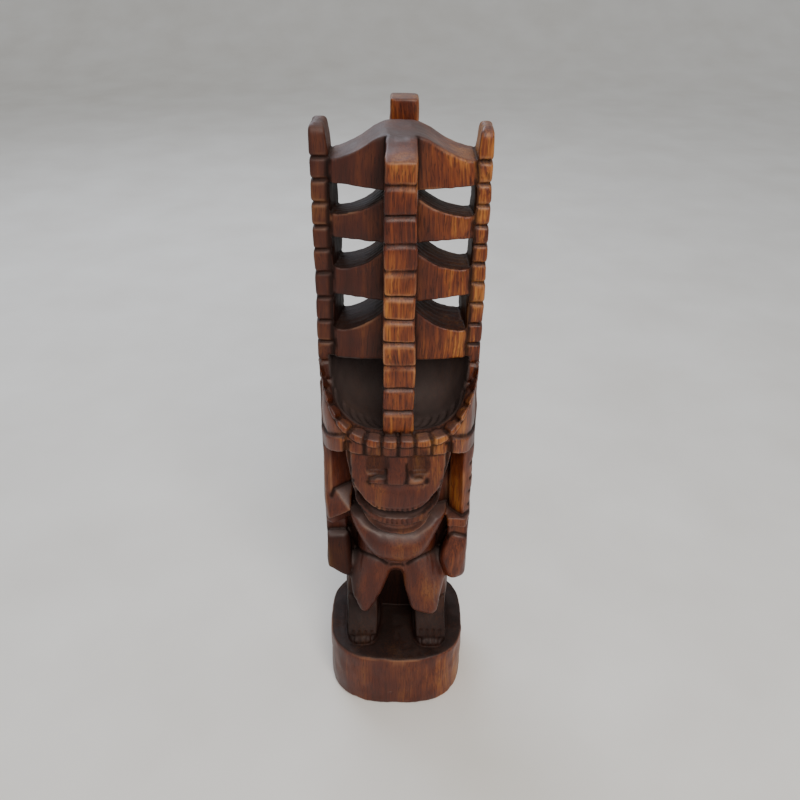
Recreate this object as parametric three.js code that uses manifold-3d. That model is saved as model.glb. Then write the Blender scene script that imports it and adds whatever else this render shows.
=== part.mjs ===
// A hand-carved wooden tiki: a squat figure with bent knees on a round-cornered plinth, under a tall
// open headdress of three notched posts, a notched front ridge and a lattice of scooped bars.
// The whole carving is cut from one block, so it is one closed solid.
// Millimetres, +Z up, the face looks along -Y, and the origin is the middle of the underside.
import * as THREE from "three";
import { mergeVertices } from "three/addons/utils/BufferGeometryUtils.js";
import { ConvexGeometry } from "three/addons/geometries/ConvexGeometry.js";
import Module from "manifold-3d";

// The block that everything is carved from
const BLOCK_WIDTH = 95;
const BLOCK_DEPTH = 91;
const BLOCK_SQUARENESS = 2.8; // 2 is an ellipse, higher is squarer
const PLINTH_HEIGHT = 45.4;
const PLINTH_EDGE = 1.2;

// Heights, stacked upwards from the plinth
const FIGURE_HEIGHT = 182.6; // plinth to the low point of the headdress rim
const HOLLOW_HEIGHT = 37; // rim to the lowest bar
const BAR_HEIGHT = 18.8; // the lowest bar, at the side posts
const WINDOW_HEIGHT = 21.1; // the lowest window, at the side posts
const LATTICE_SHRINK = 0.84; // each bar and window over the one below it
const WINDOW_ROWS = 3;
const TOP_BAR_HEIGHT = 12.6;
const SIDE_HORN_HEIGHT = 18; // side posts above the top bar
const HORN_DROP = 1.6; // the right post is this much lower than the left
const BACK_HORN_HEIGHT = 21; // back post above the top bar

// The headdress in plan
const POST_WIDTH = 10.2;
const POST_DIFFERENCE = 1.4; // the right post is this much narrower than the left
const HORN_TAPER = 1.2; // a side post is this much narrower above the top bar
const POST_DEPTH = 25.2;
const LATTICE_THICKNESS = 29;
const LATTICE_BULGE_DEPTH = 3; // the bars' faces stand further out at the ridge
const SILL_DROP = 3.2; // each sill falls this much more towards the back than the one below it
const LOWEST_SILL_RISE = 1.5;
const WINDOW_TAPER_WIDTH = 5; // the most that a window narrows towards its back
const TAPER_SHARES = { left: [0.92, 1, 0.48], right: [0.92, 0.2, 0.2] }; // lowest window first
const SCOOP_RISE = 13.5; // a sill at the ridge above the sill at the post
const PEAK_RISE = 13; // top bar's middle above its ends
const RIDGE_WIDTH = 16;
const RIDGE_SPREAD = 2.2; // the front ridge is this much wider at its foot
const RIDGE_SETBACK = 6.5; // front ridge behind the block's front
const RIDGE_SLOPE = 7.4; // height of the front ridge's sloping top
const BACK_POST_DEPTH = 16.5;
const BACK_POST_OFFSET = 1.2; // the back post stands this much to the right

// The rim, the hollow behind it and the head
const RIM_WALL = 7;
const RIM_BAND = 5.5;
const RIM_RISE = 38; // at the block's side
const RIM_CURVE = 4.5;
const HOLLOW_DIP = 9; // the hollow's floor below the rim
const HEAD_INSET = 2.6; // head and brow behind the rim
const HEAD_SIDE_INSET = 1;
const BACK_INSET = 7.5; // back of the head and body behind the back ridge

// Notches
const POST_NOTCH_WIDTH = 3;
const POST_NOTCH_DEPTH = 2;
const POST_NOTCH_WANDER = 2; // how far the posts' notches stray from equal steps
const LEFT_POST_NOTCHES = 11;
const RIGHT_POST_NOTCHES = 12;
const RIDGE_NOTCH_PITCH = 14.4;
const RIDGE_NOTCH_WIDTH = 3.4;
const RIDGE_NOTCH_DEPTH = 2.2;
const RIDGE_NOTCH_LEAN = 0.35;
const RIDGE_NOTCH_WANDER = 1.3;
const RIM_NOTCH_PITCH = 9.8;
const RIM_NOTCH_WIDTH = 2.6;
const RIM_NOTCH_DEPTH = 1.8;
const BROW_NOTCH_WIDTH = 1.8;
const BROW_NOTCH_DEPTH = 1.1;
const HAIR_NOTCH_PITCH = 9;

const OVERCUT = 4; // how far a cutter runs past what it cuts
const SUNK = 3; // how far a joined form runs into its neighbour
const CLEAR = 1.2; // how far a notch's cut stands over the face, and runs past an edge it stops at

const halfWidth = BLOCK_WIDTH / 2;
const halfDepth = BLOCK_DEPTH / 2;
const rimHeight = PLINTH_HEIGHT + FIGURE_HEIGHT;
const latticeFoot = rimHeight + HOLLOW_HEIGHT;
const postInside = halfWidth - POST_WIDTH;
const postInsideAt = (side) => (side > 0 ? postInside + POST_DIFFERENCE : postInside);
const postFront = -POST_DEPTH / 2;
const latticeFace = LATTICE_THICKNESS / 2 + LATTICE_BULGE_DEPTH;
const ridgeFront = -halfDepth + RIDGE_SETBACK;
const backFace = halfDepth - BACK_INSET;

const wasm = await Module();
wasm.setup();

// A closed geometry as a solid that can be joined and cut
function solid(geometry) {
  const bare = geometry.clone();
  bare.deleteAttribute("normal");
  bare.deleteAttribute("uv");
  const merged = mergeVertices(bare, 1e-4);
  return new wasm.Manifold(
    new wasm.Mesh({
      numProp: 3,
      vertProperties: new Float32Array(merged.attributes.position.array),
      triVerts: new Uint32Array(merged.index.array),
    }),
  );
}

const join = (...solids) => solids.flat(Infinity).reduce((whole, next) => whole.add(next));
const cut = (whole, ...cutters) =>
  cutters.flat(Infinity).reduce((left, next) => left.subtract(next), whole);

// Moves every vertex of a geometry by a function
function shaped(geometry, move) {
  const places = geometry.attributes.position;
  const v = new THREE.Vector3();
  for (let i = 0; i < places.count; i++) {
    move(v.fromBufferAttribute(places, i));
    places.setXYZ(i, v.x, v.y, v.z);
  }
  return geometry;
}

const place = (x, y, z) => new THREE.Vector3(x, y, z);

// A place in the figure, in per cent of half the block's width, half its depth and the figure's height
const at = (across, back, up) =>
  place((across / 100) * halfWidth, (back / 100) * halfDepth, PLINTH_HEIGHT + (up / 100) * FIGURE_HEIGHT);
const span = (across, back, up) => at(across, back, up).sub(at(0, 0, 0));

// The points of a function at equal steps from 0 to 1
const steps = (count, point) => Array.from({ length: count + 1 }, (_, i) => point(i / count));
const bothSides = (make) => [make(-1), make(1)];

// A prism: an outline drawn in one view, in order against the clock, pushed along the third axis
const VIEWS = {
  plan: [place(1, 0, 0), place(0, 1, 0), place(0, 0, 1)],
  front: [place(1, 0, 0), place(0, 0, 1), place(0, -1, 0)],
  side: [place(0, 1, 0), place(0, 0, 1), place(1, 0, 0)],
};

function prismGeometry(view, outline, from, to, options = {}) {
  const start = view === "front" ? -to : from;
  const shape = new THREE.Shape(outline.map(([a, b]) => new THREE.Vector2(a, b)));
  return new THREE.ExtrudeGeometry(shape, { depth: to - from, bevelEnabled: false, ...options })
    .translate(0, 0, start)
    .applyMatrix4(new THREE.Matrix4().makeBasis(...VIEWS[view]));
}

const prism = (view, outline, from, to) => solid(prismGeometry(view, outline, from, to));
const slab = (low, high) =>
  prism("plan", [[low.x, low.y], [high.x, low.y], [high.x, high.y], [low.x, high.y]], low.z, high.z);

// The block's plan, made smaller all round by an inset
function superellipse(halfX, halfY, squareness, count) {
  const swing = (value) => Math.sign(value) * Math.abs(value) ** (2 / squareness);
  return Array.from({ length: count }, (_, i) => {
    const turn = (2 * Math.PI * (i + 0.5)) / count;
    return [halfX * swing(Math.cos(turn)), halfY * swing(Math.sin(turn))];
  });
}

function blockColumn(from, to, { across = 0, deep = 0, edge = 0 } = {}) {
  const outline = superellipse(halfWidth - across, halfDepth - deep, BLOCK_SQUARENESS, 48);
  const bevel = { bevelEnabled: edge > 0, bevelSize: edge, bevelThickness: edge, bevelOffset: -edge };
  return solid(prismGeometry("plan", outline, from + edge, to - edge, { ...bevel, bevelSegments: 1 }));
}

function blockFrontAt(x) {
  const share = Math.min(Math.abs(x) / halfWidth, 1);
  return -halfDepth * (1 - share ** BLOCK_SQUARENESS) ** (1 / BLOCK_SQUARENESS);
}

// A rounded lump: a ball pushed out to a superellipsoid, then bent
function lump(centre, halfSizes, squareness = 2, detail = 3, bend = () => {}) {
  return solid(
    shaped(new THREE.IcosahedronGeometry(1, detail), (v) => {
      const n = squareness;
      const reach = (Math.abs(v.x) ** n + Math.abs(v.y) ** n + Math.abs(v.z) ** n) ** (1 / n);
      v.divideScalar(reach).multiply(halfSizes);
      bend(v);
      v.add(centre);
    }),
  );
}

// A limb: balls, given as across, back, up and radius in per cent, under one tight skin
function limb(balls, detail = 2) {
  const points = [];
  for (const [across, back, up, radius] of balls) {
    const ball = new THREE.IcosahedronGeometry((radius / 100) * halfWidth, detail);
    const centre = at(across, back, up);
    shaped(ball, (v) => points.push(v.clone().add(centre)));
  }
  return solid(new ConvexGeometry(points));
}

// A V-shaped groove from one place on a face to another, with the face's outward direction
function groove(from, to, outward, width = POST_NOTCH_WIDTH, depth = POST_NOTCH_DEPTH, lean = 0) {
  const along = to.clone().sub(from);
  const length = along.length();
  along.normalize();
  const out = outward.clone().addScaledVector(along, -outward.dot(along)).normalize();
  const across = out.clone().cross(along);
  const flare = 1 + CLEAR / depth;
  const foot = lean * width;
  const section = [
    new THREE.Vector2(foot - flare * (foot + width / 2), CLEAR),
    new THREE.Vector2(foot, -depth),
    new THREE.Vector2(foot + flare * (width / 2 - foot), CLEAR),
  ];
  const bar = new THREE.ExtrudeGeometry(new THREE.Shape(section), { depth: length, bevelEnabled: false });
  return solid(bar.applyMatrix4(new THREE.Matrix4().makeBasis(across, out, along).setPosition(from)));
}

// Heights that wander a little from equal steps, as notches spaced by hand do
const handSpaced = (low, high, count, wander, phase) =>
  steps(count - 1, (t) => low + (high - low) * t + wander * Math.sin(2 * Math.PI * (t - phase)));

// The lattice's rows, from the lowest up: each is a bar with a window over it
function latticeRows() {
  const rows = [];
  let foot = latticeFoot;
  for (let row = 0; row < WINDOW_ROWS; row++) {
    const shrink = LATTICE_SHRINK ** row;
    const sill = foot + BAR_HEIGHT * shrink;
    const lintel = sill + WINDOW_HEIGHT * shrink;
    const left = WINDOW_TAPER_WIDTH * TAPER_SHARES.left[row];
    const right = WINDOW_TAPER_WIDTH * TAPER_SHARES.right[row];
    rows.push({ sill, lintel, shrink, tapers: { left, right }, drop: SILL_DROP * row - LOWEST_SILL_RISE });
    foot = lintel;
  }
  return rows;
}

const rows = latticeRows();
const topBarEnd = rows[WINDOW_ROWS - 1].lintel + TOP_BAR_HEIGHT;
const peakHeight = topBarEnd + PEAK_RISE;
const sideHornTop = topBarEnd + SIDE_HORN_HEIGHT;
const backHornTop = topBarEnd + BACK_HORN_HEIGHT;

// A side post, its top rounded over both ways, its outside on the block's own side
function sidePost(side) {
  const inner = side * postInsideAt(side);
  const outer = side * halfWidth;
  const top = side > 0 ? sideHornTop - HORN_DROP : sideHornTop;
  const horn = inner + side * HORN_TAPER;
  const round = POST_WIDTH / 2;
  const arch = (from, to) =>
    steps(6, (t) => {
      const turn = Math.PI * t;
      return [from + ((to - from) * (1 - Math.cos(turn))) / 2, top - round + round * Math.sin(turn) ** 0.8];
    });
  const foot = at(0, 0, 93).z;
  const outline = [[inner, foot], [outer, foot], ...arch(outer, horn), [inner, topBarEnd]];
  const profile = [[postFront, foot], [-postFront, foot], ...arch(-postFront, postFront)];
  const faces = prism("front", side > 0 ? outline : outline.reverse(), postFront, -postFront);
  const [low, high] = [inner, outer].sort((a, b) => a - b);
  return faces.intersect(prism("side", profile, low, high));
}

// The notches of a side post run round its front, its outside and its back
function postNotches(side) {
  const count = side < 0 ? LEFT_POST_NOTCHES : RIGHT_POST_NOTCHES;
  const low = rimHeight + RIM_RISE * 0.58;
  const high = sideHornTop - SIDE_HORN_HEIGHT * 0.92;
  const heights = handSpaced(low, high, count, POST_NOTCH_WANDER, side < 0 ? 0.42 : 0.2);
  const inner = side * postInsideAt(side);
  const outer = side * (halfWidth + OVERCUT);
  const outside = place(side, 0, 0);
  const reach = POST_DEPTH / 2 + CLEAR; // no further, so that the rim stays whole
  return heights.flatMap((z) => [
    groove(place(inner, postFront, z), place(outer, postFront, z), place(0, -1, 0)),
    groove(place(inner, -postFront, z), place(outer, -postFront, z), place(0, 1, 0)),
    groove(place(side * halfWidth, -reach, z), place(side * halfWidth, reach, z), outside),
  ]);
}

// The lattice wall between the posts, with its S-curved top
function latticeWall() {
  const reach = postInside + SUNK;
  const tongue = LATTICE_THICKNESS / 4;
  const across = (t) => postInsideAt(1) * (1 - t) - postInsideAt(-1) * t;
  const face = (side) =>
    steps(8, (t) => {
      const x = across(side > 0 ? t : 1 - t);
      return [x, side * (latticeFace - LATTICE_BULGE_DEPTH * (x / postInside) ** 2)];
    });
  const end = (side) => [[side * reach, -side * tongue], [side * reach, side * tongue]];
  const wall = prism("plan", [...end(1), ...face(1), ...end(-1), ...face(-1)], rimHeight, peakHeight);
  const flat = RIDGE_WIDTH / 2;
  const slope = (t) => topBarEnd + PEAK_RISE * (0.5 + 0.5 * Math.cos(Math.PI * t ** 0.72));
  const top = (side) => steps(7, (t) => [side * (flat + (reach - flat) * t), slope(t)]);
  const above = peakHeight + OVERCUT;
  const over = [...top(1), [reach, above], [-reach, above], ...top(-1).reverse()];
  return cut(wall, prism("front", over, -halfDepth, halfDepth));
}

// A window narrows towards its back; its sill sweeps up to the ridge and tilts to the front or the back
function latticeWindow(row, side) {
  const inner = RIDGE_WIDTH / 2;
  const outer = postInsideAt(side);
  const reach = outer - inner;
  const rise = SCOOP_RISE * row.shrink;
  const taper = side < 0 ? row.tapers.left : row.tapers.right;
  const lintelAtRidge = row.lintel - 0.14 * (row.lintel - row.sill);
  const sill = steps(7, (t) => [side * (outer - reach * t), row.sill + rise * t ** 2.4]);
  const outline = [...sill, [side * inner, lintelAtRidge], [side * outer, row.lintel]];
  const ordered = side > 0 ? outline.reverse() : outline;
  const through = prismGeometry("front", ordered, -2 * latticeFace, 2 * latticeFace, { steps: 2 });
  return solid(
    shaped(through, (v) => {
      const down = Math.max((lintelAtRidge - v.z) / (lintelAtRidge - row.sill), 0);
      const out = (Math.abs(v.x) - inner) / reach;
      const back = (v.y + latticeFace) / (2 * latticeFace);
      v.z -= down * row.drop * back;
      v.x -= side * out * taper * back;
    }),
  );
}

// The front ridge: a fin that tapers upwards, with a sloping top
function frontRidge() {
  const foot = rimHeight - HOLLOW_DIP - SUNK;
  const profile = [
    [ridgeFront, foot],
    [latticeFace, foot],
    [latticeFace, peakHeight],
    [-latticeFace, peakHeight],
    [ridgeFront, peakHeight - RIDGE_SLOPE],
  ];
  const fin = prismGeometry("side", profile, -RIDGE_WIDTH / 2, RIDGE_WIDTH / 2);
  return solid(
    shaped(fin, (v) => {
      const down = (peakHeight - v.z) / (peakHeight - rimHeight);
      v.x *= 1 + (RIDGE_SPREAD / RIDGE_WIDTH) * down;
    }),
  );
}

function frontRidgeNotches() {
  const low = rimHeight + RIDGE_NOTCH_PITCH;
  const high = peakHeight - RIDGE_SLOPE - RIDGE_NOTCH_PITCH * 0.86;
  const count = Math.round((high - low) / RIDGE_NOTCH_PITCH) + 1;
  const reach = RIDGE_WIDTH / 2 + RIDGE_SPREAD;
  const cutAt = (z) => {
    const [from, to] = [place(-reach, ridgeFront, z), place(reach, ridgeFront, z)];
    return groove(from, to, place(0, -1, 0), RIDGE_NOTCH_WIDTH, RIDGE_NOTCH_DEPTH, RIDGE_NOTCH_LEAN);
  };
  return handSpaced(low, high, count, RIDGE_NOTCH_WANDER, -0.03).map(cutAt);
}

// The back post, and the web with its windows that ties it to the lattice wall
function backRidge() {
  const half = RIDGE_WIDTH / 2;
  const postFace = halfDepth - BACK_POST_DEPTH;
  const profile = [
    [0, rimHeight],
    [halfDepth, rimHeight],
    [halfDepth, backHornTop],
    [postFace, backHornTop],
    [postFace, topBarEnd],
    [0, topBarEnd + PEAK_RISE / 2],
  ];
  const windows = rows.map((row) => {
    const near = latticeFace;
    const rise = (t) => SCOOP_RISE * 0.4 * (1 - t) ** 2;
    const sill = steps(6, (t) => [near + (postFace - near) * t, row.sill + rise(t)]);
    return prism("side", [...sill, [postFace, row.lintel], [near, row.lintel]], -halfWidth, halfWidth);
  });
  return cut(prism("side", profile, BACK_POST_OFFSET - half, BACK_POST_OFFSET + half), windows);
}

function backRidgeNotches(foot) {
  const count = Math.round((backHornTop - foot) / RIDGE_NOTCH_PITCH);
  const reach = RIDGE_WIDTH / 2 + BACK_POST_OFFSET + OVERCUT;
  return handSpaced(foot, backHornTop - BACK_HORN_HEIGHT / 2, count, RIDGE_NOTCH_WANDER, 0.6).map((z) =>
    groove(place(-reach, halfDepth, z), place(reach, halfDepth, z), place(0, 1, 0)),
  );
}

// The rim: a band on the block's own face that sweeps up at the sides to meet the posts
const rimTopAt = (x) => rimHeight + RIM_RISE * (Math.abs(x) / halfWidth) ** RIM_CURVE;
const rimLine = (drop) =>
  steps(30, (t) => {
    const x = halfWidth * (2 * t - 1);
    return [x, rimTopAt(x) - drop];
  });

function rimBand() {
  const band = prism("front", [...rimLine(RIM_BAND), ...rimLine(0).reverse()], -halfDepth, 0);
  return band.intersect(blockColumn(rimHeight - RIM_BAND, rimHeight + RIM_RISE));
}

function rimNotches() {
  const face = (x) => place(x, blockFrontAt(x), rimTopAt(x));
  const line = new THREE.CatmullRomCurve3(steps(60, (t) => face(halfWidth * 0.99 * t)));
  const count = Math.floor(line.getLength() / RIM_NOTCH_PITCH);
  const cutters = [];
  for (let i = 0; i <= count; i++) {
    const share = (i * RIM_NOTCH_PITCH) / line.getLength();
    const top = line.getPointAt(share);
    if (top.y > postFront - RIM_BAND) continue;
    const along = line.getTangentAt(share);
    const outward = place(top.x / halfWidth ** 2, top.y / halfDepth ** 2, 0).normalize();
    const upTheBand = outward.clone().cross(along).normalize();
    const upward = place(-along.z, 0, along.x).normalize();
    const overTheTop = along.clone().cross(upward).normalize();
    for (const side of i ? [-1, 1] : [1]) {
      const from = (direction, reach) =>
        top.clone().addScaledVector(direction, reach).multiply(place(side, 1, 1));
      const facing = (direction) => direction.clone().multiply(place(side, 1, 1));
      const low = from(upTheBand, -RIM_BAND - CLEAR);
      const inner = from(overTheTop, -RIM_WALL - SUNK);
      const [up, out] = [from(upTheBand, OVERCUT), from(overTheTop, OVERCUT)];
      cutters.push(groove(low, up, facing(outward), RIM_NOTCH_WIDTH, RIM_NOTCH_DEPTH));
      cutters.push(groove(inner, out, facing(upward), RIM_NOTCH_WIDTH, RIM_NOTCH_DEPTH));
    }
  }
  return cutters;
}

// The head behind the rim: its brow overhangs the face, and its back rounds over under the lattice
function headBlock() {
  const brow = at(0, 0, 92.8).z;
  const nape = at(0, 0, 74).z;
  const crest = latticeFoot + SUNK;
  const crown = steps(6, (t) => {
    const turn = (Math.PI / 2) * t;
    const y = latticeFace + (backFace - latticeFace) * Math.cos(turn);
    return [y, rimHeight + (crest - rimHeight) * Math.sin(turn)];
  });
  const neck = [[0, brow], [0, nape], [backFace * 0.8, nape], [backFace * 0.96, brow]];
  const profile = [[-halfDepth, brow], ...neck, ...crown, [-halfDepth, crest]];
  const column = blockColumn(nape, crest, { across: HEAD_SIDE_INSET, deep: HEAD_INSET });
  return prism("side", profile, -halfWidth, halfWidth).intersect(column);
}

// Everything over the rim and in front of the posts goes, and the hollow is scooped out behind the rim
function overTheRim() {
  const above = latticeFoot + RIM_RISE;
  const line = rimLine(0);
  const outline = [...line, [halfWidth + OVERCUT, above], [-halfWidth - OVERCUT, above]];
  return prism("front", outline, -halfDepth - OVERCUT, postFront);
}

function hollow() {
  const floor = rimHeight - HOLLOW_DIP;
  const front = -halfDepth + RIM_WALL;
  const back = LATTICE_THICKNESS / 2;
  const centre = place(0, (front + back) / 2, latticeFoot);
  const half = place(halfWidth - RIM_WALL, (back - front) / 2, latticeFoot - floor);
  const low = place(-halfWidth, -halfDepth, floor - CLEAR);
  const high = place(halfWidth, halfDepth, latticeFoot);
  return lump(centre, half, 2.7, 4).intersect(slab(low, high));
}

// The ear lobes: the ends of the brow, which stand out to the block's own face and hang over the arms
function lobe(side) {
  const inner = at(65, 0, 0).x;
  const outline = [
    [side * inner, at(0, 0, 93.5).z],
    [side * halfWidth, at(0, 0, 88).z],
    [side * halfWidth, at(0, 0, 94.5).z],
    [side * inner, at(0, 0, 99.5).z],
  ];
  const ordered = side > 0 ? outline : outline.reverse();
  const band = prism("front", ordered, -halfDepth, halfDepth * 0.35);
  return band.intersect(blockColumn(at(0, 0, 80).z, rimHeight));
}

// The second, smaller notched band under the rim
function browNotches() {
  const count = 3;
  const low = at(0, 0, 92.5).z;
  const high = rimHeight - RIM_BAND;
  const cutters = [];
  for (let i = -count; i <= count; i++) {
    const x = i * RIM_NOTCH_PITCH;
    const y = blockFrontAt(x) + HEAD_INSET;
    const [from, to] = [place(x, y, low), place(x, y, high)];
    cutters.push(groove(from, to, place(0, -1, 0), BROW_NOTCH_WIDTH, BROW_NOTCH_DEPTH));
  }
  return cutters;
}

// A U-shaped line in the front view, from its low middle up to its ends
const uLine = (wide, low, high, count = 14) =>
  steps(count, (t) => {
    const share = 2 * t - 1;
    return [(wide / 100) * halfWidth * share, at(0, 0, low + (high - low) * Math.abs(share) ** 3).z];
  });

// What lies over a U-shaped line, up to a level top, with its front at a depth that bulges
function shield(line, top, depth) {
  const level = at(0, 0, top).z;
  const outline = [...line, [line.at(-1)[0], level], [line[0][0], level]];
  const front = lump(at(0, 0, 77), span(98, depth, 32), 3, 4);
  return prism("front", outline, -halfDepth, 0).intersect(front);
}

// The face: a jaw plate with a raised rim, the face proper over it, and a deep mouth slit between
function face() {
  const jaw = shield(uLine(66, 57.8, 91.2), 96, 89);
  const dish = cut(shield(uLine(61, 60, 89), 94, 120), shield(uLine(63, 59, 88.5), 95, 86.5));
  const lip = cut(shield(uLine(54, 63, 74), 80, 90), shield(uLine(56, 66.4, 77.5), 81, 120));
  const upper = cut(shield(uLine(59, 69.4, 82.5), 96, 93.5), underNose());
  return join(cut(jaw, dish, mouth()), lip, upper);
}

function mouth() {
  const upper = uLine(57, 70.2, 82);
  const lower = uLine(57, 66.3, 81.6);
  return prism("front", [...lower, ...upper.reverse()], -halfDepth - OVERCUT, at(0, -66, 0).y);
}

// The tight skin over single places in the figure
const wedge = (places) => solid(new ConvexGeometry(places.map((p) => at(...p))));

// The face is cut back under the nose, and swells forward again to the upper lip
function underNose() {
  const high = [[-37, -86, 82.6], [37, -86, 82.6], [-37, -110, 82.6], [37, -110, 82.6]];
  const low = [[-24, -94, 77.4], [24, -94, 77.4], [-24, -110, 77.4], [24, -110, 77.4]];
  return wedge([...high, ...low]);
}

function nose() {
  const brow = [[-15, -88, 94], [12, -88, 94]];
  const tip = [[-15, -98, 84], [11, -98, 84], [-14, -97, 82], [10, -97, 82]];
  const leftWing = [[-38, -94, 82], [-36, -92, 84], [-12, -97, 84.6]];
  const rightWing = [[9, -97, 82.2], [38, -94, 82], [16, -88, 87.4], [36, -86, 85.6]];
  const root = (high) => [[-16, -70, 82], [14, -70, 82], [-15, -70, high], [12, -70, high]];
  return join(wedge([...brow, ...tip, ...root(94)]), wedge([...leftWing, ...rightWing, ...root(86)]));
}

// The eyes are hollows scooped beside the nose, in the shade of the brow
const eyeHollow = (side) => lump(at(27 * side, -99, 90), span(18, 15, 6.4), 2.2, 2);

// The chest: a roll that hangs under the jaw, sweeps up to the elbows and ends level with them
function chest() {
  const sweep = span(0, 0, 13).z;
  const roll = lump(at(0, -24, 49.8), span(70, 60, 9.5), 2.3, 3, (v) => {
    v.z += sweep * Math.abs(v.x / (halfWidth * 0.625)) ** 3;
  });
  return roll.intersect(slab(at(-100, -100, 0), at(100, 100, 61.5)));
}

function torso() {
  const trunk = lump(at(0, 20, 62), span(78, 54, 33), 3.4, 2);
  const belly = lump(at(0, -10, 43), span(58, 52, 12.5), 2.3, 3);
  const hips = limb([[-36, 26, 30, 40], [36, 26, 30, 40], [0, 20, 42, 50]], 1);
  return join(trunk, belly, hips);
}

// Legs: thighs hang forward to the knees, shins stand behind them on flat feet
const THIGHS = [
  [[-26, -37, 37.5, 26], [-44, -26, 32, 26], [-44, -71, 21.2, 10], [-52, -60, 25, 12], [-34, -62, 27, 13]],
  [[27, -37, 37.5, 26], [46, -22, 32, 27], [30, -67, 21.6, 12], [50, -71, 20.4, 10], [40, -60, 27, 18]],
];

function leg(side) {
  const middle = side * 49.5;
  const reach = side < 0 ? 65 : 68;
  const shin = lump(at(middle, 12, 14), span(25, 48, 17), 4.5, 2);
  const foot = lump(at(middle, -6, 0), span(26, reach, 4.4), 3.6, 2);
  const profile = [[-33, 17], [-reach, 3.2], [20, 17], [20, 1]];
  const instep = wedge([-22, 22].flatMap((half) => profile.map(([back, up]) => [middle + half, back, up])));
  return join(shin, foot, instep);
}

function legWeb() {
  return slab(at(-40, 14, -2), at(40, 48, 30));
}

// Arms: flat upper arms under the lobes, square elbows, and hands that rest beside the thighs
const ARMS = {
  left: {
    upper: [[62, -28], [88, -47], [104, -36]],
    elbow: [
      [-102, -54, 57.5], [-94, -56, 58.6], [-80, -60, 62.3], [-62, -64, 64.5], [-84, -44, 70.5],
      [-60, -36, 70.5], [-102, -36, 70], [-102, 0, 56.5], [-60, 0, 59], [-60, 0, 72], [-102, 0, 70],
    ],
    wristFront: -30,
    hand: [
      [-92, -38, 48, 8], [-74, -40, 48.4, 8], [-92, -40, 35.5, 8], [-71, -42, 31.2, 7], [-86, 20, 38, 18],
    ],
  },
  right: {
    upper: [[69, -30], [86, -50], [104, -30]],
    elbow: [
      [66, -58, 60], [102, -58, 60], [67, -58, 56], [102, -58, 56],
      [66, 40, 60], [102, 40, 60], [67, 40, 56], [102, 40, 56],
    ],
    wristFront: -40,
    hand: [
      [90, -34, 47, 11], [79, -36, 48, 9], [70, -46, 39, 10], [78, -43, 32.3, 11], [86, -36, 31.8, 12],
      [86, 20, 38, 18],
    ],
  },
};

function arm(side) {
  const { upper, elbow, wristFront, hand } = side < 0 ? ARMS.left : ARMS.right;
  const box = (low, high) => {
    const [a, b] = [at(...low), at(...high)];
    return slab(a.clone().min(b), a.clone().max(b));
  };
  const plan = [...upper, [104, 46], [upper[0][0], 46]];
  const corners = plan.map(([across, back]) => at(side * across, back, 0)).map(({ x, y }) => [x, y]);
  const ordered = side < 0 ? corners.reverse() : corners;
  const sleeve = prism("plan", ordered, at(0, 0, 55).z, at(0, 0, 93).z);
  const wrist = box([side * 70, wristFront, 47], [side * 100, 40, 56]);
  const flank = box([side * 36, -6, 31], [side * 95, 42, 58]);
  return join(sleeve, wedge(elbow), wrist, flank, limb(hand));
}

// Hair at the sides: notches cut in from the block's side, further back on the left
function hairNotches(side) {
  const from = at(0, side > 0 ? -46 : -8, 0).y;
  const to = at(0, 50, 0).y;
  const count = Math.round(span(0, 0, 26).z / HAIR_NOTCH_PITCH);
  return handSpaced(at(0, 0, 57).z, at(0, 0, 81).z, count, RIDGE_NOTCH_WANDER / 2, 0.1).map((z) =>
    groove(place(side * halfWidth, from, z), place(side * halfWidth, to, z), place(side, 0, 0)),
  );
}

// The mane: the back ridge goes on down the back of the head
function mane() {
  const foot = at(0, 0, 46).z;
  const [left, right] = [-1, 1].map((side) => BACK_POST_OFFSET + (side * RIDGE_WIDTH) / 2);
  return slab(place(left, 0, foot), place(right, halfDepth, rimHeight + SUNK));
}

function carving() {
  const plinth = blockColumn(0, PLINTH_HEIGHT, { edge: PLINTH_EDGE });
  const head = cut(join(headBlock(), rimBand()), overTheRim());
  const lattice = cut(
    latticeWall(),
    slab(place(-halfWidth, -halfDepth, 0), place(halfWidth, LATTICE_THICKNESS / 2, latticeFoot)),
    rows.flatMap((row) => bothSides((side) => latticeWindow(row, side))),
  );
  const bowl = cut(join(head, bothSides(sidePost)), hollow());
  const headdress = join(bowl, lattice, frontRidge(), backRidge(), mane());
  const features = join(cut(face(), mouth(), bothSides(eyeHollow)), nose());
  const thighs = THIGHS.map((balls) => limb(balls));
  const body = join(torso(), chest(), features, bothSides(arm), bothSides(leg), legWeb(), thighs);
  const whole = join(headdress, body, bothSides(lobe)).intersect(blockColumn(SUNK, backHornTop));
  return cut(
    join(whole, plinth),
    bothSides(postNotches),
    frontRidgeNotches(),
    backRidgeNotches(at(0, 0, 52).z),
    rimNotches(),
    browNotches(),
    bothSides(hairNotches),
  );
}

function namedMesh(name, shape, material) {
  const { numProp, vertProperties, triVerts } = shape.getMesh();
  const geometry = new THREE.BufferGeometry();
  geometry.setAttribute("position", new THREE.BufferAttribute(vertProperties, numProp));
  geometry.setIndex(new THREE.BufferAttribute(triVerts, 1));
  geometry.computeVertexNormals();
  const mesh = new THREE.Mesh(geometry, material);
  mesh.name = name;
  return mesh;
}

const varnishedWood = new THREE.MeshStandardMaterial({ color: 0x5a3020, roughness: 0.45, metalness: 0 });

const tiki = new THREE.Group();
tiki.add(namedMesh("tiki_carving", carving(), varnishedWood));

export default tiki;
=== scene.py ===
# %% [markdown]
# # A hand-carved wooden tiki
#
# The real thing is one block of dark tropical wood, cut with saw, gouge and knife, stained, and
# varnished. The frame already holds its true form as one faceted solid. This lesson gives that solid
# the finish of a carving: edges that a knife has eased, gouge marks, toes and teeth, and then a wood
# material with grain, pores, painted shade and some stain in the recesses, painted highlights and a
# painted sheen, and a satin varnish.

import math

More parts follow.
